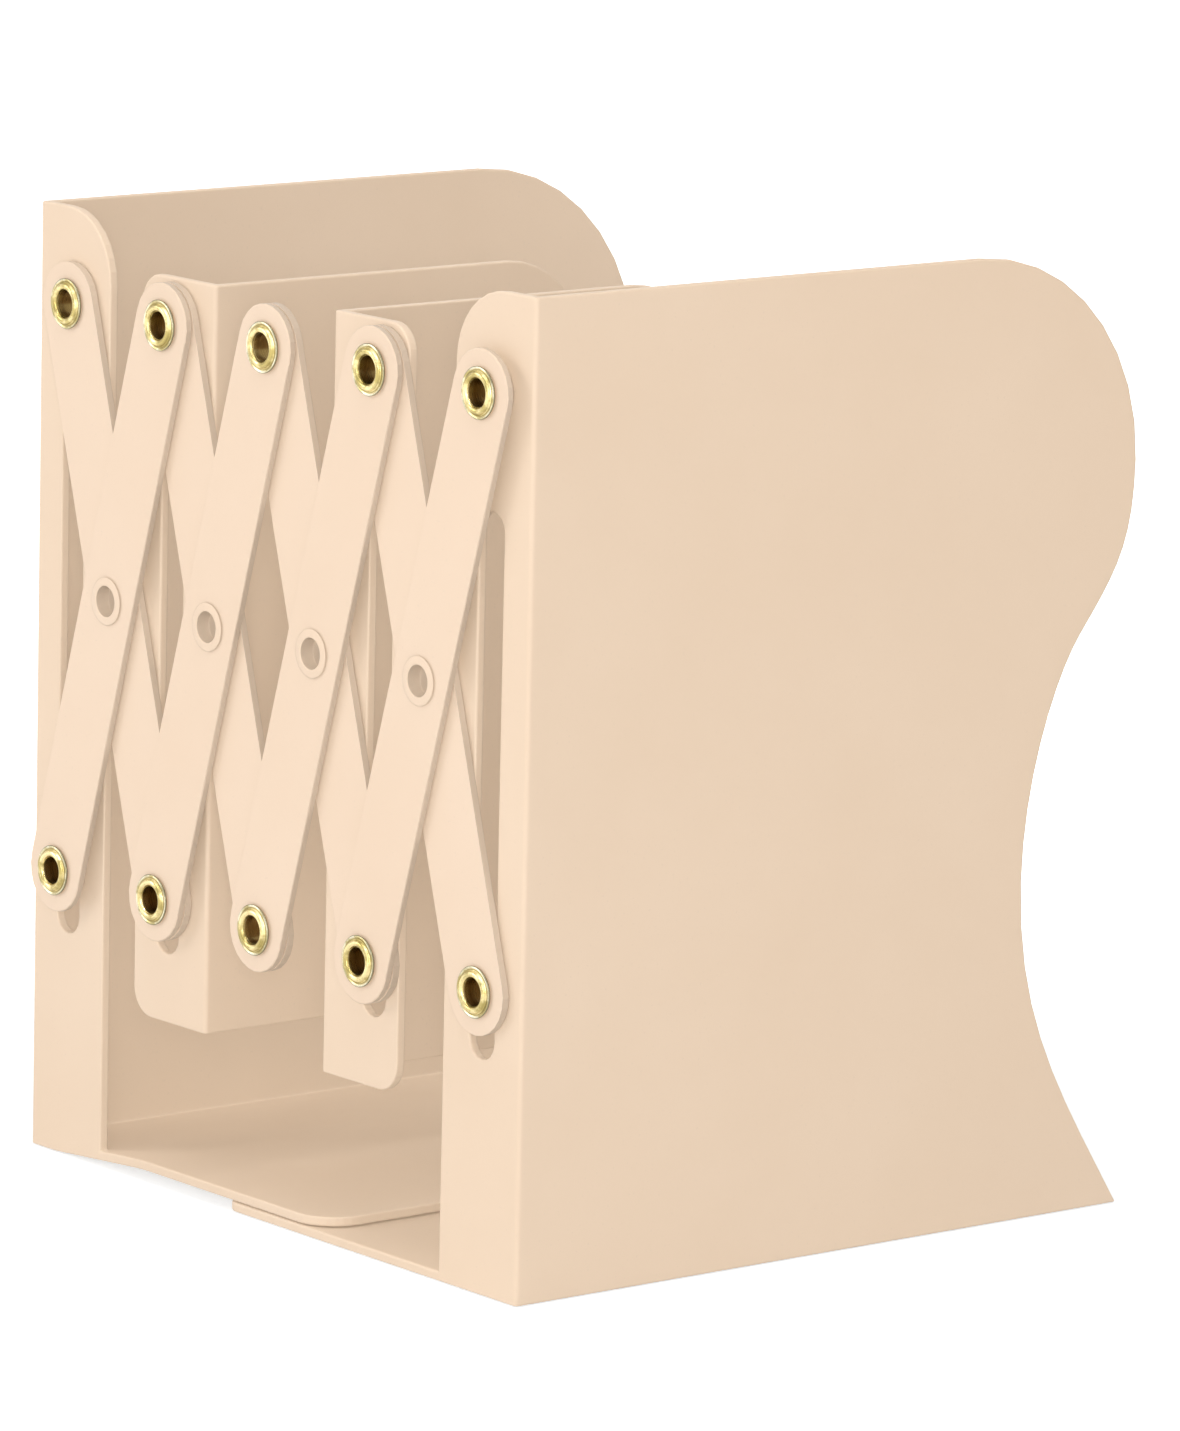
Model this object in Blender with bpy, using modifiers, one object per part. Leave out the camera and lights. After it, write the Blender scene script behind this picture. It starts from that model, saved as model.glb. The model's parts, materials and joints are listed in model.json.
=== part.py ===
# Expandable desk bookend of coated sheet steel. Two end plates with a wavy back edge
# and two hanging dividers slide on a lazy-tongs row of four crossed bar pairs.
# Metres, +Z up. X runs along the row, the linkage faces -Y, the feet stand on z = 0.

import math

import bmesh
import bpy
from mathutils import Matrix, Vector

for item in list(bpy.data.objects):
    bpy.data.objects.remove(item, do_unlink=True)

# Overall sizes
rest_width = 0.166
plate_height = 0.2
side_depth = 0.158
sheet = 0.002
bend_radius = 0.0009
edge_round = 0.0004
gap = 0.0003
weld = 0.000003
overshoot = 0.005

# Linkage: five columns of pivots, joined by four pairs of crossed bars
column_count = 5
top_pivot_margin = 0.0198
closed_pivot_height = 0.0562
bar_width = 0.0175
bar_thickness = 0.0015
bar_edge = 0.0003
end_margin = 0.0125

# Wavy back edge of an end plate: insets from its full depth, and shares of its height
top_inset = 0.0444
top_pull = 0.0239
crest_inset = 0.0012
crest_height_share = 0.78
crest_pull_up = 0.0243
crest_pull_down = 0.0177
turn_inset = 0.015
turn_height_share = 0.604
turn_slope = math.radians(52.4)
turn_pull_up = 0.0152
turn_pull_down = 0.0083
waist_inset = 0.0288
waist_height_share = 0.355
waist_pull_up = 0.0235
waist_pull_down = 0.0293
toe_pull_in = 0.0161
toe_pull_up = 0.0251

# Front flange and slots
flange_width = 0.025
flange_corner = 0.015
slot_width = 0.0077
slot_top_margin = 0.0237
plate_slot_bottom = 0.0475
divider_slot_bottom = 0.0495

# Feet: the left foot ramps up over the right one
right_foot_length = 0.097
right_foot_corner = 0.004
left_foot_length = 0.103
left_foot_corner = 0.009
foot_back_corner = 0.012
foot_setback = 0.002
foot_root = 0.0018
ramp_start = 0.006
ramp_end = 0.042
ramp_ease = 0.005

# Hanging dividers
divider_bottom = 0.035
divider_top_margin = 0.0103
divider_depth = 0.095
divider_back_corner = 0.02
divider_free_corner = 0.006
left_panel_offset = 0.0137
left_free_offset = 0.0115
right_panel_offset = 0.0169
right_free_offset = 0.008

# Eyelets, turned from brass tube
bore_radius = 0.003
barrel_radius = 0.0035
head_radius = 0.00525
head_thickness = 0.0005
head_edge = 0.0002
rim_radius = 0.0044
rim_height = 0.001
rim_crown = 0.00035
clinch_radius = 0.0049
clinch_thickness = 0.0005

# Hollow rivets at the bar crossings, coated like the bars
rivet_head_radius = 0.005
rivet_head_height = 0.0006
rivet_head_side = 0.00015
rivet_crown_radius = 0.0038
cup_radius = 0.0031
cup_floor = 0.0006
shank_radius = 0.0036
tail_radius = 0.0044
tail_height = 0.0009
sink_gap = 0.0005

# Washers
spacer_radius = 0.0064
washer_radius = 0.006
washer_thickness = 0.0008

# Subdivision of round stretches
corner_steps = 8
wave_steps = 9
end_steps = 12
hole_steps = 16
slot_steps = 8
turn_steps = 18
foot_steps = 12

# Derived places
middle_column = (column_count + 1) // 2
left_divider_column = middle_column - 1
right_divider_column = middle_column + 1
top_pivot_height = plate_height - top_pivot_margin
bar_length = top_pivot_height - closed_pivot_height
slot_top = top_pivot_height - slot_top_margin
divider_top = plate_height - divider_top_margin
layer = bar_thickness + gap
head_over_two = 2 * layer + gap
head_over_one = layer + gap
front_reach = head_over_two + rim_height
flange_face = -(side_depth - front_reach) / 2
pitch = (rest_width - 2 * end_margin) / (column_count - 1)
lean = math.asin(pitch / bar_length)
drop = bar_length * math.cos(lean)
bottom_pivot_height = top_pivot_height - drop
centre_pivot_height = top_pivot_height - drop / 2
hole_radius = barrel_radius + gap
foot_rise = sheet + gap

parts = bpy.data.collections.new("expandable_bookend")
cutters = bpy.data.collections.new("cutters")
for group in (parts, cutters):
    bpy.context.scene.collection.children.link(group)


def column_x(column):
    return -rest_width / 2 + end_margin + (column - 1) * pitch


def top_pivot(column):
    return Vector((column_x(column), flange_face, top_pivot_height))


# Materials
def finish(name, colour, roughness, metallic):
    material = bpy.data.materials.new(name)
    material.use_nodes = True
    shader = material.node_tree.nodes["Principled BSDF"]
    shader.inputs["Base Color"].default_value = (*colour, 1)
    shader.inputs["Roughness"].default_value = roughness
    shader.inputs["Metallic"].default_value = metallic
    material.diffuse_color = (*colour, 1)
    return material


coated_steel = finish("beige_coated_steel", (0.9, 0.72, 0.55), 0.5, 0)
coated_bar = finish("beige_coated_bar", (0.92, 0.74, 0.57), 0.48, 0)
coated_rivet = finish("beige_coated_rivet", (0.91, 0.73, 0.56), 0.45, 0)
brass = finish("brass", (0.8, 0.52, 0.14), 0.25, 1)
washer_steel = finish("zinc_plated_steel", (0.62, 0.6, 0.56), 0.35, 1)


# Outlines
def rounded(corners):
    # Each corner is (x, y, radius). A radius of zero stays sharp.
    points = []
    for index, (x, y, radius) in enumerate(corners):
        before = corners[index - 1]
        after = corners[(index + 1) % len(corners)]
        if radius == 0:
            points.append((x, y))
            continue
        start = math.atan2(before[1] - y, before[0] - x)
        turn = (math.atan2(after[1] - y, after[0] - x) - start + math.pi) % (2 * math.pi) - math.pi
        half = turn / 2
        reach = radius / math.sin(abs(half))
        centre = (x + reach * math.cos(start + half), y + reach * math.sin(start + half))
        sweep = math.copysign(math.pi - abs(turn), turn)
        first = start - math.copysign(math.pi / 2, turn)
        for step in range(corner_steps + 1):
            angle = first - sweep * step / corner_steps
            points.append((centre[0] + radius * math.cos(angle), centre[1] + radius * math.sin(angle)))
    return points


def bezier(start, pull_out, pull_in, end):
    points = []
    for step in range(wave_steps):
        t = step / wave_steps
        weights = ((1 - t) ** 3, 3 * (1 - t) ** 2 * t, 3 * (1 - t) * t ** 2, t ** 3)
        points.append(tuple(
            sum(weight * point[axis] for weight, point in zip(weights, (start, pull_out, pull_in, end)))
            for axis in range(2)))
    return points


def circle(x, y, radius, steps):
    return [(x + radius * math.cos(2 * math.pi * step / steps),
             y + radius * math.sin(2 * math.pi * step / steps)) for step in range(steps)]


def stadium(x, low, high, radius, steps):
    upper = [(x + radius * math.cos(math.pi * step / steps),
              high + radius * math.sin(math.pi * step / steps)) for step in range(steps + 1)]
    lower = [(2 * x - px, low + high - py) for px, py in upper]
    return upper + lower


# Solids
# Sketch planes: plan is XY, front is XZ and side is YZ
plan_view = Matrix.Identity(4)
front_view = Matrix(((1, 0, 0, 0), (0, 0, -1, 0), (0, 1, 0, 0), (0, 0, 0, 1)))
side_view = Matrix(((0, 0, 1, 0), (1, 0, 0, 0), (0, 1, 0, 0), (0, 0, 0, 1)))


def slab(name, loops, thickness, place, group):
    # A flat outline with its holes, as thick as asked, centred on its own plane
    curve = bpy.data.curves.new(name, "CURVE")
    curve.dimensions = "2D"
    curve.fill_mode = "BOTH"
    curve.extrude = thickness / 2
    for loop in loops:
        spline = curve.splines.new("POLY")
        spline.points.add(len(loop) - 1)
        spline.use_cyclic_u = True
        for point, (x, y) in zip(spline.points, loop):
            point.co = (x, y, 0, 1)
    sketch = bpy.data.objects.new(name + "_outline", curve)
    bpy.context.scene.collection.objects.link(sketch)
    bpy.context.view_layer.update()
    depsgraph = bpy.context.evaluated_depsgraph_get()
    mesh = bpy.data.meshes.new_from_object(sketch.evaluated_get(depsgraph))
    bpy.data.objects.remove(sketch)
    shape = bmesh.new()
    shape.from_mesh(mesh)
    bmesh.ops.remove_doubles(shape, verts=shape.verts, dist=weld)
    bmesh.ops.recalc_face_normals(shape, faces=shape.faces)
    shape.to_mesh(mesh)
    shape.free()
    mesh.transform(place)
    return linked(name, mesh, group)


def linked(name, mesh, group):
    solid = bpy.data.objects.new(name, mesh)
    group.objects.link(solid)
    if group is cutters:
        solid.display_type = "WIRE"
        solid.hide_render = True
    return solid


def turned(name, profile, closed, group):
    # The profile is a list of (radius, height) that runs down its outer side
    mesh = bpy.data.meshes.new(name)
    edges = [(index, index + 1) for index in range(len(profile) - 1)]
    if closed:
        edges.append((len(profile) - 1, 0))
    mesh.from_pydata([(radius, 0, height) for radius, height in profile], edges, [])
    solid = linked(name, mesh, group)
    screw = solid.modifiers.new("Turn", "SCREW")
    screw.axis = "Z"
    screw.angle = 2 * math.pi
    screw.steps = turn_steps
    screw.render_steps = turn_steps
    screw.use_merge_vertices = True
    screw.merge_threshold = weld
    screw.use_smooth_shade = True
    solid.rotation_euler = front_view.to_euler()
    return solid


def combine(solid, other, operation):
    modifier = solid.modifiers.new(operation.title(), "BOOLEAN")
    modifier.operation = operation
    modifier.solver = "EXACT"
    modifier.object = other


def soften(solid, width, segments):
    # Flat areas become single faces first, so that the edge rounding runs evenly
    flatten = solid.modifiers.new("Flatten", "DECIMATE")
    flatten.decimate_type = "DISSOLVE"
    flatten.angle_limit = math.radians(0.5)
    edge = solid.modifiers.new("Edge", "BEVEL")
    edge.width = width
    edge.segments = segments
    edge.limit_method = "ANGLE"
    edge.angle_limit = math.radians(35)


def baked(solid):
    # One finished mesh, which repeated pieces share
    bpy.context.view_layer.update()
    depsgraph = bpy.context.evaluated_depsgraph_get()
    mesh = bpy.data.meshes.new_from_object(solid.evaluated_get(depsgraph))
    mesh.name = solid.name
    bpy.data.objects.remove(solid)
    mesh.shade_smooth()
    mesh.set_sharp_from_angle(angle=math.radians(30))
    return mesh


# A side panel with a flange folded along its front edge. hand is +1 where the panel
# is on the right of its flange, and -1 where it is on the left.
def bent_sheet(name, hand, outer_x, width, side_loop, front_loops, pivot):
    long_side = side_depth + overshoot

    def at(inset, depth, radius):
        return (outer_x - hand * inset, flange_face + depth, radius)

    plan = rounded([
        at(0, 0, bend_radius), at(width + overshoot, 0, 0), at(width + overshoot, sheet, 0),
        at(sheet, sheet, 0), at(sheet, long_side, 0), at(0, long_side, 0)])
    lift = Matrix.Translation((0, 0, plate_height / 2))
    solid = slab(name, [plan], plate_height + 2 * overshoot, lift, parts)

    across = Matrix.Translation((outer_x - hand * width / 2, 0, 0))
    side = slab(name + "_side", [side_loop], width + 4 * overshoot, across @ side_view, cutters)
    along = Matrix.Translation((0, flange_face + long_side / 2, 0))
    front = slab(name + "_front", front_loops, long_side + 2 * overshoot, along @ front_view, cutters)
    combine(solid, side, "INTERSECT")
    combine(solid, front, "INTERSECT")
    solid.data.transform(Matrix.Translation(pivot).inverted())
    solid.location = pivot
    solid.data.materials.append(coated_steel)
    return solid


def openings(x, slot_bottom):
    # The slot that the lower eyelet slides in, and the hole of the upper one
    radius = slot_width / 2
    return [stadium(x, slot_bottom + radius, slot_top - radius, radius, slot_steps),
            circle(x, top_pivot_height, hole_radius, hole_steps)]


def wave_side():
    along = (math.cos(turn_slope), math.sin(turn_slope))

    crest_height = crest_height_share * plate_height
    turn_height = turn_height_share * plate_height
    waist_height = waist_height_share * plate_height

    def at(inset, height):
        return (flange_face + side_depth - inset, height)

    def on_turn(pull):
        return at(turn_inset - pull * along[0], turn_height + pull * along[1])

    top = at(top_inset, plate_height)
    crest = at(crest_inset, crest_height)
    turn = at(turn_inset, turn_height)
    waist = at(waist_inset, waist_height)
    toe = at(0, 0)
    loop = [at(side_depth + overshoot, -overshoot), at(side_depth + overshoot, plate_height)]
    loop += bezier(top, at(top_inset - top_pull, plate_height),
                   at(crest_inset, crest_height + crest_pull_up), crest)
    loop += bezier(crest, at(crest_inset, crest_height - crest_pull_down), on_turn(turn_pull_up), turn)
    loop += bezier(turn, on_turn(-turn_pull_down), at(waist_inset, waist_height + waist_pull_up), waist)
    loop += bezier(waist, at(waist_inset, waist_height - waist_pull_down),
                   at(toe_pull_in, toe_pull_up), toe)
    return loop + [toe, at(0, -overshoot)]


def underside(first, last, rise):
    # Underside of a plate and its foot, as insets from the outer face and heights.
    # The ramp is a straight slope whose two ends are eased in by parabolas.
    run = ramp_end - ramp_start
    ease = ramp_ease / run
    places = [ramp_start + run * step / foot_steps for step in range(foot_steps + 1)]
    points = []
    for inset in [first] + [place for place in places if rise and first < place < last] + [last]:
        share = min(max((inset - ramp_start) / run, 0), 1)
        if share < ease:
            climb = share ** 2 / (2 * ease)
        elif share > 1 - ease:
            climb = 1 - ease - (1 - share) ** 2 / (2 * ease)
        else:
            climb = share - ease / 2
        points.append((inset, rise * climb / (1 - ease)))
    return points


def foot_profile(hand, length, rise):
    # Front view of the foot, from the bend to past its free end
    under = underside(foot_root, length + overshoot, rise)
    over = [(inset, height + sheet) for inset, height in reversed(under)]
    return [(hand * (rest_width / 2 - inset), height) for inset, height in under + over]


def end_plate(name, hand, column, foot_length, foot_corner, rise, pivot):
    outer_x = hand * rest_width / 2
    inner_x = outer_x - hand * flange_width
    lower_edge = [(inner_x, 0, 0)]
    if rise:
        # Over the ramp the flange ends inside the foot, half a sheet above its underside
        lower_edge = [(outer_x - hand * inset, height + sheet / 2, 0)
                      for inset, height in reversed(underside(ramp_start, flange_width, rise))]
        lower_edge.append((outer_x - hand * ramp_start, 0, 0))
    front = rounded([
        (outer_x + hand * overshoot, 0, 0), (outer_x + hand * overshoot, plate_height, 0),
        (inner_x, plate_height, flange_corner)] + lower_edge)
    plate = bent_sheet(name, hand, outer_x, flange_width, wave_side(),
                       [front] + openings(column_x(column), plate_slot_bottom), pivot)

    back = flange_face + side_depth - foot_setback
    root_x = outer_x - hand * bend_radius / 2
    tip_x = outer_x - hand * foot_length
    plan = rounded([
        (root_x, flange_face, 0), (tip_x, flange_face, foot_corner),
        (tip_x, back, foot_back_corner), (root_x, back, 0)])
    middle = Matrix.Translation((0, flange_face + side_depth / 2, 0))
    foot = slab(name + "_foot", [foot_profile(hand, foot_length, rise)], side_depth + 2 * overshoot,
                middle @ front_view, cutters)
    trim = slab(name + "_foot_plan", [plan], plate_height, plan_view, cutters)
    combine(foot, trim, "INTERSECT")
    combine(plate, foot, "UNION")
    soften(plate, edge_round, 2)
    return plate


def divider(name, hand, column, panel_offset, free_offset):
    x = column_x(column)
    outer_x = x + hand * panel_offset
    free_x = x - hand * free_offset
    before = flange_face - overshoot
    back = flange_face + divider_depth
    side = rounded([
        (before, divider_bottom, 0), (before, divider_top, 0),
        (back, divider_top, divider_back_corner), (back, divider_bottom, divider_back_corner)])
    front = rounded([
        (outer_x + hand * overshoot, divider_bottom, 0), (outer_x + hand * overshoot, divider_top, 0),
        (free_x, divider_top, divider_free_corner), (free_x, divider_bottom, divider_free_corner)])
    panel = bent_sheet(name, hand, outer_x, panel_offset + free_offset, side,
                       [front] + openings(x, divider_slot_bottom), top_pivot(column))
    soften(panel, edge_round, 2)
    return panel


# Bars. Their outlines are drawn upright and lean only once they are placed.
def bar_mesh(name, low, high, centre_hole, height_over_flange):
    loops = [
        stadium(0, low, high, bar_width / 2, end_steps),
        circle(0, low, hole_radius, hole_steps),
        circle(0, high, hole_radius, hole_steps)]
    if centre_hole:
        loops.append(circle(0, (low + high) / 2, shank_radius + gap, hole_steps))
    forward = Matrix.Translation((0, -height_over_flange - bar_thickness / 2, 0))
    return slab(name, loops, bar_thickness, forward @ front_view, cutters)


def front_bar_mesh():
    blank = bar_mesh("front_bar", -bar_length, 0, True, gap + layer)
    soften(blank, bar_edge, 1)
    return baked(blank)


def back_bar_mesh():
    # The middle hole is countersunk from behind, so that the rivet's tail lies flush
    blank = bar_mesh("back_bar", -bar_length / 2, bar_length / 2, False, gap)
    sink = turned("back_bar_sink", [
        (0, overshoot), (shank_radius + gap, overshoot), (shank_radius + gap, gap + tail_height),
        (tail_radius + sink_gap, gap), (tail_radius + sink_gap, -overshoot), (0, -overshoot)],
        False, cutters)
    combine(blank, sink, "DIFFERENCE")
    soften(blank, bar_edge, 1)
    return baked(blank)


def bar(name, mesh, x, height, side):
    solid = linked(name, mesh, parts)
    solid.location = (x, flange_face, height)
    solid.rotation_euler = (0, side * lean, 0)
    return solid


# Turned pieces. Heights run forwards from the flange face.
def eyelet(name, x, height, head, tail):
    crown = head + rim_height
    rest = tail - clinch_thickness
    solid = turned(name, [
        (bore_radius, crown - rim_crown), (bore_radius + rim_crown, crown),
        (rim_radius - rim_crown, crown), (rim_radius, head + head_thickness),
        (head_radius - head_edge, head + head_thickness), (head_radius, head + head_edge),
        (head_radius, head), (barrel_radius, head), (barrel_radius, tail),
        (clinch_radius, tail), (clinch_radius - head_edge, rest), (bore_radius, rest)], True, parts)
    solid.location = (x, flange_face, height)
    solid.data.materials.append(brass)
    return solid


def centre_rivet(name, x, height):
    head = head_over_two
    crown = head + rivet_head_height
    floor = gap + cup_floor
    solid = turned(name, [
        (0, floor), (cup_radius, floor), (cup_radius, crown), (rivet_crown_radius, crown),
        (rivet_head_radius, head + rivet_head_side), (rivet_head_radius, head), (shank_radius, head),
        (shank_radius, gap + tail_height), (tail_radius, gap), (0, gap)], False, parts)
    solid.location = (x, flange_face, height)
    solid.data.materials.append(coated_rivet)
    return solid


def washer(name, x, height, radius, front, back, material):
    solid = turned(name, [(hole_radius, front), (radius, front), (radius, back), (hole_radius, back)],
                   True, parts)
    solid.location = (x, flange_face, height)
    solid.data.materials.append(material)
    return solid


# Assembly
columns = range(1, column_count + 1)
pairs = range(1, column_count)

end_plate("right_end_plate", 1, column_count, right_foot_length, right_foot_corner, 0, Vector((0, 0, 0)))
end_plate("left_end_plate", -1, 1, left_foot_length, left_foot_corner, foot_rise, top_pivot(1))
divider("left_divider", 1, left_divider_column, left_panel_offset, left_free_offset)
divider("right_divider", -1, right_divider_column, right_panel_offset, right_free_offset)

front_mesh = front_bar_mesh()
back_mesh = back_bar_mesh()
for mesh in (front_mesh, back_mesh):
    mesh.materials.append(coated_bar)
for pair in pairs:
    bar(f"front_bar_{pair}", front_mesh, column_x(pair + 1), top_pivot_height, 1)
    bar(f"back_bar_{pair}", back_mesh, column_x(pair + 1 / 2), centre_pivot_height, -1)
    centre_rivet(f"centre_rivet_{pair}", column_x(pair + 1 / 2), centre_pivot_height)

for column in columns:
    x = column_x(column)
    flanged = column != middle_column
    top_head = head_over_one if column == 1 else head_over_two
    bottom_head = head_over_one if column == column_count else head_over_two
    behind = -sheet - gap if flanged else 0
    eyelet(f"top_eyelet_{column}", x, top_pivot_height, top_head, behind)
    if flanged:
        washer(f"slot_washer_{column}", x, bottom_pivot_height, washer_radius,
               behind, behind - washer_thickness, washer_steel)
        behind -= washer_thickness + gap
    eyelet(f"bottom_eyelet_{column}", x, bottom_pivot_height, bottom_head, behind)

# A spacer fills the back layer where only a front bar meets a flange
washer("bottom_spacer_1", column_x(1), bottom_pivot_height, spacer_radius, layer, gap, coated_bar)
washer(f"top_spacer_{column_count}", column_x(column_count), top_pivot_height, spacer_radius,
       layer, gap, coated_bar)

# Each piece hangs from the one that carries it, along the chain from the right plate
carriers = {}
upstream = "right_end_plate"
for pair in reversed(pairs):
    carriers[f"front_bar_{pair}"] = upstream
    carriers[f"back_bar_{pair}"] = f"front_bar_{pair}"
    carriers[f"centre_rivet_{pair}"] = f"front_bar_{pair}"
    carriers[f"bottom_eyelet_{pair}"] = f"front_bar_{pair}"
    if pair != middle_column:
        carriers[f"slot_washer_{pair}"] = f"front_bar_{pair}"
    upstream = f"back_bar_{pair}"
carriers["left_end_plate"] = "back_bar_1"
carriers["left_divider"] = f"back_bar_{left_divider_column}"
carriers["right_divider"] = f"back_bar_{right_divider_column}"
carriers["top_eyelet_1"] = "left_end_plate"
carriers[f"top_eyelet_{left_divider_column}"] = "left_divider"
carriers[f"top_eyelet_{middle_column}"] = f"back_bar_{middle_column}"
carriers[f"top_eyelet_{right_divider_column}"] = "right_divider"
carriers[f"top_eyelet_{column_count}"] = "right_end_plate"
carriers[f"top_spacer_{column_count}"] = "right_end_plate"
carriers["bottom_spacer_1"] = "front_bar_1"
carriers[f"bottom_eyelet_{column_count}"] = f"back_bar_{column_count - 1}"
carriers[f"slot_washer_{column_count}"] = f"back_bar_{column_count - 1}"

bpy.context.view_layer.update()
for name, carrier in carriers.items():
    piece = bpy.data.objects[name]
    piece.parent = bpy.data.objects[carrier]
    piece.matrix_parent_inverse = bpy.data.objects[carrier].matrix_world.inverted()
bpy.context.view_layer.update()
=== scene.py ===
import json
import math

import bmesh
import bpy
import numpy as np
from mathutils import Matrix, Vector


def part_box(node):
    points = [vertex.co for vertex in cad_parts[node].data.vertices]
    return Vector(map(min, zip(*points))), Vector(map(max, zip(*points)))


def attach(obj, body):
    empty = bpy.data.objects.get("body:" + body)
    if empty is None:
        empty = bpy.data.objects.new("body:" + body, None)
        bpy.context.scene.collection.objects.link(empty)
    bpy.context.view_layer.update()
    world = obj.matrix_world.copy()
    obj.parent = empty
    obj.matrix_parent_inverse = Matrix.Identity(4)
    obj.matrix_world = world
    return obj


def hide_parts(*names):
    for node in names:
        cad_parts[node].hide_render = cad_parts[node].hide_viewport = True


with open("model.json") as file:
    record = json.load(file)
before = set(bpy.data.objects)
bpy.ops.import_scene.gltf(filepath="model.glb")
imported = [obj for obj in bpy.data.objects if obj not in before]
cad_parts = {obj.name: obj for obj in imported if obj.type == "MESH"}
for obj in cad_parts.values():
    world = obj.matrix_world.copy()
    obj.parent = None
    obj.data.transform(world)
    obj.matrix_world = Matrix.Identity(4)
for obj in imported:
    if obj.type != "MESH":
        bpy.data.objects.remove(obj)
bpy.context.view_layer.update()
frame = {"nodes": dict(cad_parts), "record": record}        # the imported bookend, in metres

scene = bpy.context.scene
scene.view_settings.view_transform = "Standard"
nodes = frame["nodes"]


# Shader helpers
def addNode(tree, kind, **settings):
    node = tree.nodes.new(kind)
    for name, value in settings.items():
        setattr(node, name, value)
    return node


def plug(tree, socket, value):
    if isinstance(value, bpy.types.NodeSocket):
        tree.links.new(value, socket)
    elif isinstance(value, (tuple, list)) and socket.type == "RGBA":
        socket.default_value = (*value, 1)
    else:
        socket.default_value = value


def mathNode(tree, operation, first, second=0.0, clamp=False):
    node = addNode(tree, "ShaderNodeMath", operation=operation, use_clamp=clamp)
    plug(tree, node.inputs[0], first)
    plug(tree, node.inputs[1], second)
    return node.outputs[0]


def noiseNode(tree, vector, scale, detail, roughness=0.5):
    node = addNode(tree, "ShaderNodeTexNoise")
    settings = {"Vector": vector, "Scale": scale, "Detail": detail, "Roughness": roughness}
    for name, value in settings.items():
        plug(tree, node.inputs[name], value)
    return node.outputs["Fac"]


def rangeNode(tree, value, low, high, toLow=0.0, toHigh=1.0, smooth=False):
    node = addNode(tree, "ShaderNodeMapRange", interpolation_type="SMOOTHSTEP" if smooth else "LINEAR")
    settings = {"Value": value, "From Min": low, "From Max": high, "To Min": toLow, "To Max": toHigh}
    for name, setting in settings.items():
        plug(tree, node.inputs[name], setting)
    return node.outputs["Result"]


def attributeNode(tree, name):
    return addNode(tree, "ShaderNodeAttribute", attribute_name=name).outputs["Fac"]


def mixColours(tree, share, first, second):
    node = addNode(tree, "ShaderNodeMix", data_type="RGBA")
    colourSockets = [socket for socket in node.inputs if socket.type == "RGBA"]
    plug(tree, node.inputs[0], share)
    plug(tree, colourSockets[0], first)
    plug(tree, colourSockets[1], second)
    return [socket for socket in node.outputs if socket.type == "RGBA"][0]


def newGroup(name, inputs, outputs):
    group = bpy.data.node_groups.new(name, "ShaderNodeTree")
    for label, kind, value in inputs:
        socket = group.interface.new_socket(label, in_out="INPUT", socket_type=kind)
        socket.default_value = value
    for label, kind in outputs:
        group.interface.new_socket(label, in_out="OUTPUT", socket_type=kind)
    return group, addNode(group, "NodeGroupInput"), addNode(group, "NodeGroupOutput")


def groupNode(tree, group, values):
    node = addNode(tree, "ShaderNodeGroup", node_tree=group)
    for name, value in values.items():
        plug(tree, node.inputs[name], value)
    return node


def newMaterial(name):
    material = bpy.data.materials.new(name)
    material.use_nodes = True
    return material, material.node_tree, material.node_tree.nodes["Principled BSDF"]


# Powder coat: orange peel and grit as a height, slow mottling and rare pinholes as masks.
# Scales are in cells per metre.
coatTexture = {
    "peelScale": 700.0, "gritScale": 2600.0, "gritShare": 0.35,
    "mottleScale": 22.0, "mottleFrom": 0.3, "mottleTo": 0.7,
    "pinholeScale": 1700, "pinholeFrom": 0.74, "pinholeTo": 0.82,
}


def buildCoatGroup():
    group, given, result = newGroup(
        "powderCoat",
        [("Peel Scale", "NodeSocketFloat", coatTexture["peelScale"]),
         ("Grit Scale", "NodeSocketFloat", coatTexture["gritScale"]),
         ("Grit Share", "NodeSocketFloat", coatTexture["gritShare"]),
         ("Mottle Scale", "NodeSocketFloat", coatTexture["mottleScale"])],
        [("Height", "NodeSocketFloat"), ("Mottle", "NodeSocketFloat"), ("Pinhole", "NodeSocketFloat")])
    place = addNode(group, "ShaderNodeTexCoord").outputs["Object"]
    peel = noiseNode(group, place, given.outputs["Peel Scale"], detail=2)
    grit = noiseNode(group, place, given.outputs["Grit Scale"], detail=1)
    gritPart = mathNode(group, "MULTIPLY", grit, given.outputs["Grit Share"])
    group.links.new(mathNode(group, "ADD", peel, gritPart), result.inputs["Height"])
    slow = noiseNode(group, place, given.outputs["Mottle Scale"], detail=4, roughness=0.6)
    mottle = rangeNode(group, slow, coatTexture["mottleFrom"], coatTexture["mottleTo"])
    group.links.new(mottle, result.inputs["Mottle"])
    spots = noiseNode(group, place, coatTexture["pinholeScale"], detail=0)
    pinhole = rangeNode(group, spots, coatTexture["pinholeFrom"], coatTexture["pinholeTo"])
    group.links.new(pinhole, result.inputs["Pinhole"])
    return group


# Rounded edges: a normal that bends over each edge, and a mask that is 1 on the edge itself
edgeDefaults = {"radius": 0.0003, "maskGain": 6.0, "samples": 6}


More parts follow.
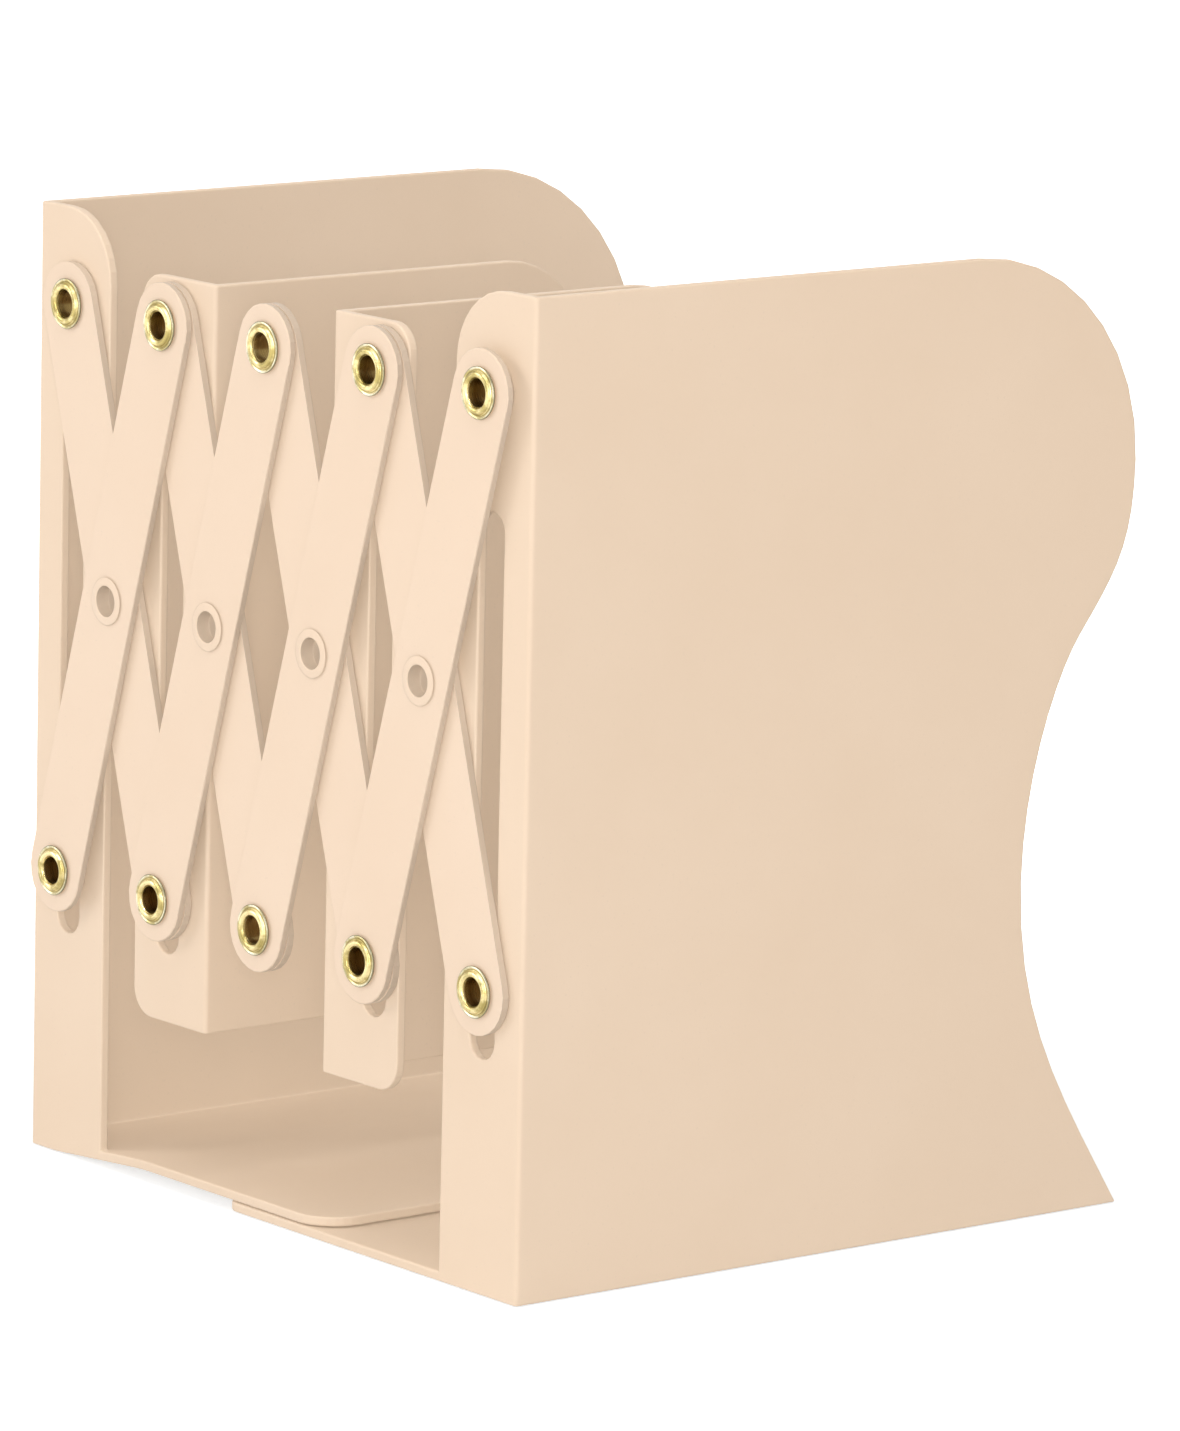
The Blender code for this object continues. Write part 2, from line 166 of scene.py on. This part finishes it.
def buildEdgeGroup():
    group, given, result = newGroup(
        "roundedEdge",
        [("Radius", "NodeSocketFloat", edgeDefaults["radius"]),
         ("Mask Gain", "NodeSocketFloat", edgeDefaults["maskGain"])],
        [("Normal", "NodeSocketVector"), ("Edge", "NodeSocketFloat")])
    bevel = addNode(group, "ShaderNodeBevel", samples=edgeDefaults["samples"])
    group.links.new(given.outputs["Radius"], bevel.inputs["Radius"])
    group.links.new(bevel.outputs["Normal"], result.inputs["Normal"])
    face = addNode(group, "ShaderNodeNewGeometry").outputs["True Normal"]
    dot = addNode(group, "ShaderNodeVectorMath", operation="DOT_PRODUCT")
    group.links.new(bevel.outputs["Normal"], dot.inputs[0])
    group.links.new(face, dot.inputs[1])
    bend = mathNode(group, "SUBTRACT", 1.0, dot.outputs["Value"])
    mask = mathNode(group, "MULTIPLY", bend, given.outputs["Mask Gain"], clamp=True)
    group.links.new(mask, result.inputs["Edge"])
    return group


coatGroup = buildCoatGroup()
edgeGroup = buildEdgeGroup()


# Coated steel. Everything a repaint would change is here.
# The edge lift is a painted highlight: a paler coat on the rounded edges.
coatLook = {
    "sheet": {"colour": (0.888, 0.690, 0.512), "roughness": 0.46, "bump": 0.10,
              "edgeRadius": 0.00035, "edgeHighlight": 0.07},
    "bar": {"colour": (0.903, 0.702, 0.529), "roughness": 0.44, "bump": 0.09,
            # A bar's side colour is painted shade: a darker colour on the faces of its thickness.
            "edgeRadius": 0.0002, "edgeHighlight": 0.04, "side": (0.66, 0.515, 0.387)},
    "rivet": {"colour": (0.893, 0.694, 0.518), "roughness": 0.42, "bump": 0.08,
              # A rivet's cup colour is painted shade: a darker colour inside its cup.
              "edgeRadius": 0.0001, "edgeHighlight": 0.0, "cup": (0.62, 0.485, 0.365)},
    "bounce": (0.69, 0.65, 0.60),      # what bounced light sees, so that bays don't turn orange
    "mottleDepth": 0.03,
    "mottleWeights": (0.7, 1.0, 1.4),
    "pinholeDepth": 0.04,
    "peelHeight": 0.00006,
    "roughPale": -0.03, "roughDeep": 0.04,
    "specular": 0.45,
    "sideFrom": 0.35, "sideTo": 0.8,   # how squarely a face looks along Y
}


def makeCoat(name, look):
    material, tree, shader = newMaterial(name)
    coat = groupNode(tree, coatGroup, {})
    edge = groupNode(tree, edgeGroup, {"Radius": look["edgeRadius"]})
    colour = look["colour"]
    deep = tuple(part * (1 - coatLook["mottleDepth"] * weight)
                 for part, weight in zip(colour, coatLook["mottleWeights"]))
    pale = tuple(min(1.0, part * (1 + look["edgeHighlight"])) for part in colour)
    pit = tuple(part * (1 - coatLook["pinholeDepth"]) for part in colour)
    base = mixColours(tree, coat.outputs["Mottle"], deep, colour)
    base = mixColours(tree, coat.outputs["Pinhole"], base, pit)
    # Painted highlight: the coat turns paler on its rounded edges, for the light they catch.
    base = mixColours(tree, edge.outputs["Edge"], base, pale)
    if "side" in look:      # painted shade: the sides of a bar, which face away from its own Y axis, get a darker colour for the shade that falls between the bars
        ownNormal = addNode(tree, "ShaderNodeVectorTransform", vector_type="NORMAL",
                            convert_from="WORLD", convert_to="OBJECT")
        tree.links.new(addNode(tree, "ShaderNodeNewGeometry").outputs["True Normal"], ownNormal.inputs[0])
        facing = addNode(tree, "ShaderNodeSeparateXYZ")
        tree.links.new(ownNormal.outputs[0], facing.inputs[0])
        flat = mathNode(tree, "ABSOLUTE", facing.outputs["Y"])
        onFace = rangeNode(tree, flat, coatLook["sideFrom"], coatLook["sideTo"])
        base = mixColours(tree, onFace, look["side"], base)
    # Painted shade: a darker colour on the wall and floor of a rivet's cup, for the shade inside it.
    if "cup" in look:
        base = mixColours(tree, attributeNode(tree, "cup"), base, look["cup"])
    bounced = addNode(tree, "ShaderNodeLightPath").outputs["Is Diffuse Ray"]
    base = mixColours(tree, bounced, base, coatLook["bounce"])
    tree.links.new(base, shader.inputs["Base Color"])
    rough = rangeNode(tree, coat.outputs["Mottle"], 0, 1, look["roughness"] + coatLook["roughDeep"],
                      look["roughness"] + coatLook["roughPale"])
    tree.links.new(rough, shader.inputs["Roughness"])
    bump = addNode(tree, "ShaderNodeBump")
    bump.inputs["Strength"].default_value = look["bump"]
    bump.inputs["Distance"].default_value = coatLook["peelHeight"]
    tree.links.new(coat.outputs["Height"], bump.inputs["Height"])
    tree.links.new(edge.outputs["Normal"], bump.inputs["Normal"])
    tree.links.new(bump.outputs["Normal"], shader.inputs["Normal"])
    shader.inputs["Specular IOR Level"].default_value = coatLook["specular"]
    return material


sheetCoat = makeCoat("beigeSheetCoat", coatLook["sheet"])
barCoat = makeCoat("beigeBarCoat", coatLook["bar"])
rivetCoat = makeCoat("beigeRivetCoat", coatLook["rivet"])


# Pale rolled brass. The ring attribute runs along the turned profile, so lathe lines follow the
# surface. The recess attribute marks the groove. Further attributes mark the flat ring, which gets a
# paler colour as a painted reflection, its outer edge, which gets a dark line of painted shade, and the
# bore, whose inside gets a dark brown of painted shade.
brassLook = {
    "bright": (0.84, 0.70, 0.36),
    "dull": (0.36, 0.28, 0.08),
    # The flange colour is a painted reflection: the flat ring paler and more neutral than the rolled rim.
    "flange": (0.74, 0.70, 0.54),
    "groove": (0.24, 0.19, 0.07),
    # The outer edge colour is painted shade: a dark line round the flange.
    "outline": (0.26, 0.24, 0.15),
    # The bore colour is painted shade: the dark inside of the hole.
    "bore": (0.26, 0.175, 0.06),
    "stainScale": 260, "stainFrom": 0.4, "stainTo": 0.62, "stainDepth": 0.85,
    "roughness": 0.22, "roughLines": 0.12, "roughRecess": 0.25,
    "lineScale": 5200, "lineFrom": 0.3, "lineTo": 0.7,
    "lineBump": 0.12, "lineHeight": 0.00003,
}


def makeBrass(name, look):
    material, tree, shader = newMaterial(name)
    place = addNode(tree, "ShaderNodeTexCoord").outputs["Object"]
    along = addNode(tree, "ShaderNodeCombineXYZ")
    tree.links.new(attributeNode(tree, "ring"), along.inputs["X"])
    lines = noiseNode(tree, along.outputs["Vector"], look["lineScale"], detail=3, roughness=0.65)
    patches = noiseNode(tree, place, look["stainScale"], detail=4, roughness=0.6)
    stain = rangeNode(tree, patches, look["stainFrom"], look["stainTo"],
                      0, look["stainDepth"], smooth=True)
    recess = attributeNode(tree, "recess")
    toned = mixColours(tree, stain, look["bright"], look["dull"])
    # Painted reflection: the flat ring turns paler and more neutral.
    toned = mixColours(tree, attributeNode(tree, "flange"), toned,
                       mixColours(tree, stain, look["flange"], look["dull"]))
    toned = mixColours(tree, recess, toned, look["groove"])
    toned = mixColours(tree, attributeNode(tree, "outline"), toned, look["outline"])
    # Painted shade: the inside of the bore turns dark brown.
    toned = mixColours(tree, attributeNode(tree, "bore"), toned, look["bore"])
    tree.links.new(toned, shader.inputs["Base Color"])
    rough = rangeNode(tree, lines, look["lineFrom"], look["lineTo"], 0, look["roughLines"])
    rough = mathNode(tree, "ADD", rough, look["roughness"])
    inRecess = mathNode(tree, "MULTIPLY", recess, look["roughRecess"])
    rough = mathNode(tree, "ADD", rough, inRecess, clamp=True)
    tree.links.new(rough, shader.inputs["Roughness"])
    shader.inputs["Metallic"].default_value = 1
    bump = addNode(tree, "ShaderNodeBump")
    bump.inputs["Strength"].default_value = look["lineBump"]
    bump.inputs["Distance"].default_value = look["lineHeight"]
    tree.links.new(lines, bump.inputs["Height"])
    tree.links.new(bump.outputs["Normal"], shader.inputs["Normal"])
    return material


brass = makeBrass("rolledBrass", brassLook)


# Zinc-plated washers behind the slots
zincLook = {
    "pale": (0.70, 0.69, 0.66), "grey": (0.44, 0.44, 0.43), "roughness": 0.3, "roughSpread": 0.15,
    "cellScale": 900, "cellFrom": 0.1, "cellTo": 0.8,
}


def makeZinc(name, look):
    material, tree, shader = newMaterial(name)
    place = addNode(tree, "ShaderNodeTexCoord").outputs["Object"]
    spangle = addNode(tree, "ShaderNodeTexVoronoi")
    spangle.inputs["Scale"].default_value = look["cellScale"]
    tree.links.new(place, spangle.inputs["Vector"])
    cells = rangeNode(tree, spangle.outputs["Distance"], look["cellFrom"], look["cellTo"])
    tree.links.new(mixColours(tree, cells, look["grey"], look["pale"]), shader.inputs["Base Color"])
    rough = rangeNode(tree, cells, 0, 1, look["roughness"], look["roughness"] + look["roughSpread"])
    tree.links.new(rough, shader.inputs["Roughness"])
    shader.inputs["Metallic"].default_value = 1
    return material


zinc = makeZinc("zincPlate", zincLook)
print("materials ready")


# Turned surfaces
def smoothPath(points, perSpan, closed):
    # Catmull-Rom curve: each span is a cubic through its two ends, with half the chord between
    # the neighbours as its slope
    points = np.asarray(points, float)
    if closed:
        padded = np.vstack([points[-1:], points, points[:2]])
    else:
        padded = np.vstack([2 * points[:1] - points[1:2], points, 2 * points[-1:] - points[-2:-1]])
    t = np.linspace(0, 1, perSpan, endpoint=False)[None, :, None]
    p0, p1, p2, p3 = (padded[shift:len(padded) - 3 + shift, None, :] for shift in range(4))
    curve = 0.5 * (2 * p1 + (p2 - p0) * t + (2 * p0 - 5 * p1 + 4 * p2 - p3) * t ** 2
                   + (3 * p1 - p0 - 3 * p2 + p3) * t ** 3)
    path = curve.reshape(-1, 2)
    return path if closed else np.vstack([path, points[-1:]])


def turnedPiece(name, node, path, closed, around, masks):
    # A point of the profile (radius r, depth d behind the front) goes to
    # (x + r cos a, front + d, z + r sin a) for each angle a round the pivot
    low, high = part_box(node)
    centre = ((low.x + high.x) / 2, (low.z + high.z) / 2)
    angles = np.linspace(0, 2 * math.pi, around, endpoint=False)
    radius, depth = path[:, 0, None], path[:, 1, None]
    grid = np.stack([centre[0] + radius * np.cos(angles), low.y + depth + 0 * angles,
                     centre[1] + radius * np.sin(angles)], axis=-1)
    steps = np.r_[0, np.cumsum(np.hypot(*np.diff(path, axis=0).T))]
    ids = np.arange(len(path) * around).reshape(len(path), around)
    turned = np.roll(ids, -1, axis=1)
    if closed:
        ahead, aheadTurned = np.roll(ids, -1, axis=0), np.roll(turned, -1, axis=0)
        faces = np.stack([ids, turned, aheadTurned, ahead], axis=-1).reshape(-1, 4).tolist()
    else:
        quads = np.stack([ids[1:-2], turned[1:-2], turned[2:-1], ids[2:-1]], axis=-1).reshape(-1, 4)
        top = np.stack([np.full(around, ids[0, 0]), turned[1], ids[1]], axis=-1)
        base = np.stack([np.full(around, ids[-1, 0]), ids[-2], turned[-2]], axis=-1)
        faces = quads.tolist() + top.tolist() + base.tolist()
    mesh = bpy.data.meshes.new(name)
    mesh.from_pydata(grid.reshape(-1, 3).tolist(), [], faces)
    for label, values in (("ring", steps), *masks.items()):
        layer = mesh.attributes.new(label, "FLOAT", "POINT")
        layer.data.foreach_set("value", np.repeat(values, around).astype(np.float32))
    shape = bmesh.new()
    shape.from_mesh(mesh)
    loose = [vertex for vertex in shape.verts if not vertex.link_faces]
    bmesh.ops.delete(shape, geom=loose, context="VERTS")
    bmesh.ops.recalc_face_normals(shape, faces=shape.faces)
    shape.to_mesh(mesh)
    shape.free()
    mesh.shade_smooth()
    piece = bpy.data.objects.new(name, mesh)
    scene.collection.objects.link(piece)
    return piece


def dress(piece, node, body, material):
    piece.data.materials.append(material)
    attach(piece, body)
    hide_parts(node)


bodyOf = {name: body for body, names in frame["record"]["behaviour"]["bodies"].items() for name in names}


# Eyelets: a rolled rim round the bore, a groove, then a flat flange. Radii are shares of the
# flange's radius, depths are in metres behind the crown of the rim.
eyeletShape = {
    "bore": 0.55, "barrel": 0.66, "roll": 0.69, "rollEdge": 0.82, "groove": 0.865,
    "ring": 0.935, "clinch": 0.93,
    "crown": 0.001, "grooveDepth": 0.00072, "ringDepth": 0.00056, "clinchThickness": 0.0005,
    "grooveHalf": 0.035, "outlineFrom": 0.965, "outlineTo": 0.985,
    "boreMargin": 1.03, "boreFrom": 0.0005, "boreTo": 0.002,
    "around": 96, "perSpan": 5,
}


def eyeletPath(radius, length, shape):
    # Corners of the profile: the bore, the rolled rim, the groove, the flange, the barrel and the
    # clinched end. The small factors only round these corners.
    head, groove, ring = shape["crown"], shape["grooveDepth"], shape["ringDepth"]
    bore, barrel = shape["bore"] * radius, shape["barrel"] * radius
    rollMid, rollEdge = shape["roll"] * radius, shape["rollEdge"] * radius
    rollHalf = rollMid - bore
    clinch, tail = shape["clinch"] * radius, length - shape["clinchThickness"]
    return [
        (bore, rollHalf * 1.6), (bore, rollHalf), (bore + rollHalf * 0.3, rollHalf * 0.29), (rollMid, 0),
        (rollEdge - rollHalf * 0.3, rollHalf * 0.25), (rollEdge, groove * 0.8),
        (shape["groove"] * radius, groove), (shape["ring"] * radius, ring),
        (radius * 0.985, ring * 1.15), (radius, (ring + head) / 2), (radius * 0.985, head * 0.98),
        (radius * 0.95, head), (barrel * 1.06, head), (barrel, head * 1.1),
        (barrel, tail - head * 0.1), (barrel * 1.06, tail), (clinch * 0.96, tail),
        (clinch, tail + head * 0.12), (clinch * 0.97, length - head * 0.1), (barrel * 1.05, length),
        (bore * 1.06, length - head * 0.08), (bore, tail)]


def smoothStep(value, low, high):
    share = np.clip((value - low) / (high - low), 0, 1)
    return share * share * (3 - 2 * share)


def buildEyelet(node):
    low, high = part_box(node)
    radius, length = (high.x - low.x) / 2, high.y - low.y
    path = smoothPath(eyeletPath(radius, length, eyeletShape), eyeletShape["perSpan"], True)
    share, front = path[:, 0] / radius, path[:, 1] < eyeletShape["crown"]
    offGroove = abs(share - eyeletShape["groove"]) / eyeletShape["grooveHalf"]
    recess = (1 - np.clip(offGroove, 0, 1)) * front
    # The flange mask marks where the flat ring gets its painted reflection.
    flange = smoothStep(share, eyeletShape["groove"], eyeletShape["ring"]) * front
    # This mask marks the flange's outer edge, where the dark line of painted shade goes.
    outline = smoothStep(share, eyeletShape["outlineFrom"], eyeletShape["outlineTo"]) * front
    # The bore mask marks where the inside gets its painted shade.
    inside = share < eyeletShape["bore"] * eyeletShape["boreMargin"]
    bore = smoothStep(path[:, 1], eyeletShape["boreFrom"], eyeletShape["boreTo"]) * inside
    piece = turnedPiece("dressed_" + node, node, path, True, eyeletShape["around"],
                        {"recess": recess, "flange": flange, "outline": outline, "bore": bore})
    dress(piece, node, bodyOf[node], brass)


# Crossing rivets: a deep cup with a rounded lip in a low head, and a countersunk tail. Radii are
# shares of the head's radius, heights and depths are in metres.
rivetShape = {
    "cup": 0.645, "lip": 0.70, "shoulder": 0.79, "shank": 0.72, "tail": 0.88,
    "headHeight": 0.0006, "crownDepth": 0.00043, "cupFloor": 0.0006, "tailHeight": 0.0009,
    "cupMargin": 1.01,
    "around": 96, "perSpan": 6,
}


def rivetPath(radius, length, shape):
    # Corners of the profile: the cup's floor and wall, the lip, the head, the shank and the tail.
    # The small factors only round these corners.
    head, crown, sink = shape["headHeight"], shape["crownDepth"], shape["tailHeight"]
    rise = head - crown
    cup, lip = shape["cup"] * radius, shape["lip"] * radius
    floor = length - shape["cupFloor"]
    shank, tail = shape["shank"] * radius, shape["tail"] * radius
    return [
        (0, floor), (cup * 0.5, floor), (cup * 0.9, floor - head * 0.06), (cup, floor - head * 0.5),
        (cup, head * 1.6), (cup, crown + rise * 0.7), (cup * 1.03, crown + rise * 0.22), (lip, crown),
        (shape["shoulder"] * radius, crown + rise * 0.12), (radius * 0.91, crown + rise * 0.5),
        (radius * 0.98, crown + rise * 0.84), (radius, head - rise * 0.06), (radius * 0.985, head),
        (radius * 0.9, head), (shank, head), (shank, head * 1.2), (shank, length - sink),
        (tail, length - head * 0.05), (tail * 0.97, length), (tail * 0.5, length), (0, length)]


def buildRivet(node):
    low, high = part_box(node)
    radius, length = (high.x - low.x) / 2, high.y - low.y
    path = smoothPath(rivetPath(radius, length, rivetShape), rivetShape["perSpan"], False)
    path[:, 0] = np.maximum(path[:, 0], 0)
    # The cup mask marks where the rivet gets its painted shade.
    wall = path[:, 0] < rivetShape["cup"] * radius * rivetShape["cupMargin"]
    cup = smoothStep(path[:, 1], rivetShape["crownDepth"], rivetShape["headHeight"]) * wall
    cup = cup * (path[:, 1] < length - rivetShape["cupFloor"] / 2)
    piece = turnedPiece("dressed_" + node, node, path, False, rivetShape["around"], {"cup": cup})
    dress(piece, node, bodyOf[node], rivetCoat)


# Washers and spacers: plain rings with broken edges
ringShape = {"hole": 0.0038, "edge": 0.00012, "around": 72, "perSpan": 2}


def buildRing(node, material):
    low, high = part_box(node)
    radius, length = (high.x - low.x) / 2, high.y - low.y
    hole, edge = ringShape["hole"], ringShape["edge"]
    path = smoothPath([
        (hole, edge), (hole + edge, 0), (hole + 2 * edge, 0), (radius - 2 * edge, 0), (radius - edge, 0),
        (radius, edge), (radius, length - edge), (radius - edge, length), (radius - 2 * edge, length),
        (hole + 2 * edge, length), (hole + edge, length), (hole, length - edge)],
        ringShape["perSpan"], True)
    piece = turnedPiece("dressed_" + node, node, path, True, ringShape["around"], {})
    dress(piece, node, bodyOf[node], material)


def setMaterial(node, material):
    piece = nodes[node]
    piece.data.materials.clear()
    piece.data.materials.append(material)


for node in sorted(nodes):
    if "eyelet" in node:
        buildEyelet(node)
    elif "rivet" in node:
        buildRivet(node)
    elif "washer" in node:
        buildRing(node, zinc)
    elif "spacer" in node:
        buildRing(node, barCoat)
    elif "bar" in node:
        setMaterial(node, barCoat)
    else:
        setMaterial(node, sheetCoat)
print("eyelets, rivets, washers and coats done")


# Studio. The floor keeps the soft shadow near the object and turns plain white further out: it
# glows by floorLift up to whiteFrom, and by 1 from whiteAt on.
studio = {
    "floorSize": 12.0, "floorDrop": 0.0002, "floorColour": 0.8, "floorRoughness": 0.9,
    "floorLift": 0.42, "whiteFrom": 0.12, "whiteAt": 0.42,
    "ambient": 0.3,
    "lamps": [      # name, place, target, size, power, casts a shadow
        ("topLamp", (0.3, -0.3, 2.6), (0, 0, 0.1), 1.8, 20.0, True),
        ("rightLamp", (1.95, -1.5, 0.62), (0, 0, 0.1), 0.6, 8.0, True),
        ("leftLamp", (-1.6, -1.9, 1.2), (0, 0, 0.1), 1.2, 16.2, True),
        ("rightFill", (2.2, -0.9, 0.9), (0, 0, 0.1), 1.6, 8.2, False),
        ("frontFill", (1.2, -2.0, 0.8), (0, 0, 0.1), 1.6, 12.8, False),
        ("topFill", (0.95, -0.6, 2.3), (0, 0, 0.1), 1.8, 9.6, False)],
}


def buildWorld():
    world = bpy.data.worlds.new("paleStudio")
    scene.world = world
    world.use_nodes = True
    tree = world.node_tree
    shine = tree.nodes["Background"]
    shine.inputs["Color"].default_value = (1, 1, 1, 1)
    path = addNode(tree, "ShaderNodeLightPath")
    seen = mathNode(tree, "MAXIMUM", path.outputs["Is Camera Ray"], path.outputs["Is Glossy Ray"])
    seen = mathNode(tree, "MAXIMUM", seen, path.outputs["Is Transmission Ray"])
    strength = rangeNode(tree, seen, 0, 1, studio["ambient"], 1)
    tree.links.new(strength, shine.inputs["Strength"])


def buildFloor():
    half, level = studio["floorSize"] / 2, -studio["floorDrop"]
    corners = [(-half, -half, level), (half, -half, level), (half, half, level), (-half, half, level)]
    mesh = bpy.data.meshes.new("studioFloor")
    mesh.from_pydata(corners, [], [(0, 1, 2, 3)])
    floor = bpy.data.objects.new("studioFloor", mesh)
    scene.collection.objects.link(floor)
    material, tree, shader = newMaterial("paleFloor")
    tone = studio["floorColour"]
    shader.inputs["Base Color"].default_value = (tone, tone, tone, 1)
    shader.inputs["Roughness"].default_value = studio["floorRoughness"]
    shader.inputs["Specular IOR Level"].default_value = 0
    place = addNode(tree, "ShaderNodeTexCoord").outputs["Object"]
    away = addNode(tree, "ShaderNodeVectorMath", operation="LENGTH")
    tree.links.new(place, away.inputs[0])
    lift = rangeNode(tree, away.outputs["Value"], studio["whiteFrom"], studio["whiteAt"],
                     studio["floorLift"], 1, smooth=True)
    path = addNode(tree, "ShaderNodeLightPath")
    seen = mathNode(tree, "MAXIMUM", path.outputs["Is Camera Ray"], path.outputs["Is Glossy Ray"])
    shader.inputs["Emission Color"].default_value = (1, 1, 1, 1)
    tree.links.new(mathNode(tree, "MULTIPLY", seen, lift), shader.inputs["Emission Strength"])
    mesh.materials.append(material)


def buildLamp(name, place, target, size, power, castsShadow):
    data = bpy.data.lights.new(name, "AREA")
    data.use_shadow = castsShadow
    data.cycles.use_multiple_importance_sampling = castsShadow      # else a fill fades inside the bays
    data.shape = "SQUARE"
    data.size = size
    data.energy = power
    lamp = bpy.data.objects.new(name, data)
    scene.collection.objects.link(lamp)
    lamp.location = place
    lamp.rotation_euler = (Vector(target) - Vector(place)).to_track_quat("-Z", "Y").to_euler()


buildWorld()
buildFloor()
for lamp in studio["lamps"]:
    buildLamp(*lamp)
print("studio lit")


# Camera, fitted to the corners of the plates in the photograph. Its place is in metres, its turn
# in degrees, and the lens and the sensor are in millimetres.
view = {
    "place": (1.40162, -1.11661, 0.43284), "turn": (79.3986, -1.2624, 51.5604),
    "lens": 221.63, "sensorWidth": 36, "clipEnd": 50,
}
lens = bpy.data.cameras.new("viewCamera")
lens.lens = view["lens"]
lens.sensor_width = view["sensorWidth"]
lens.clip_end = view["clipEnd"]
camera = bpy.data.objects.new("viewCamera", lens)
camera.location = view["place"]
camera.rotation_euler = [math.radians(angle) for angle in view["turn"]]
scene.collection.objects.link(camera)
scene.camera = camera

print("scene complete")
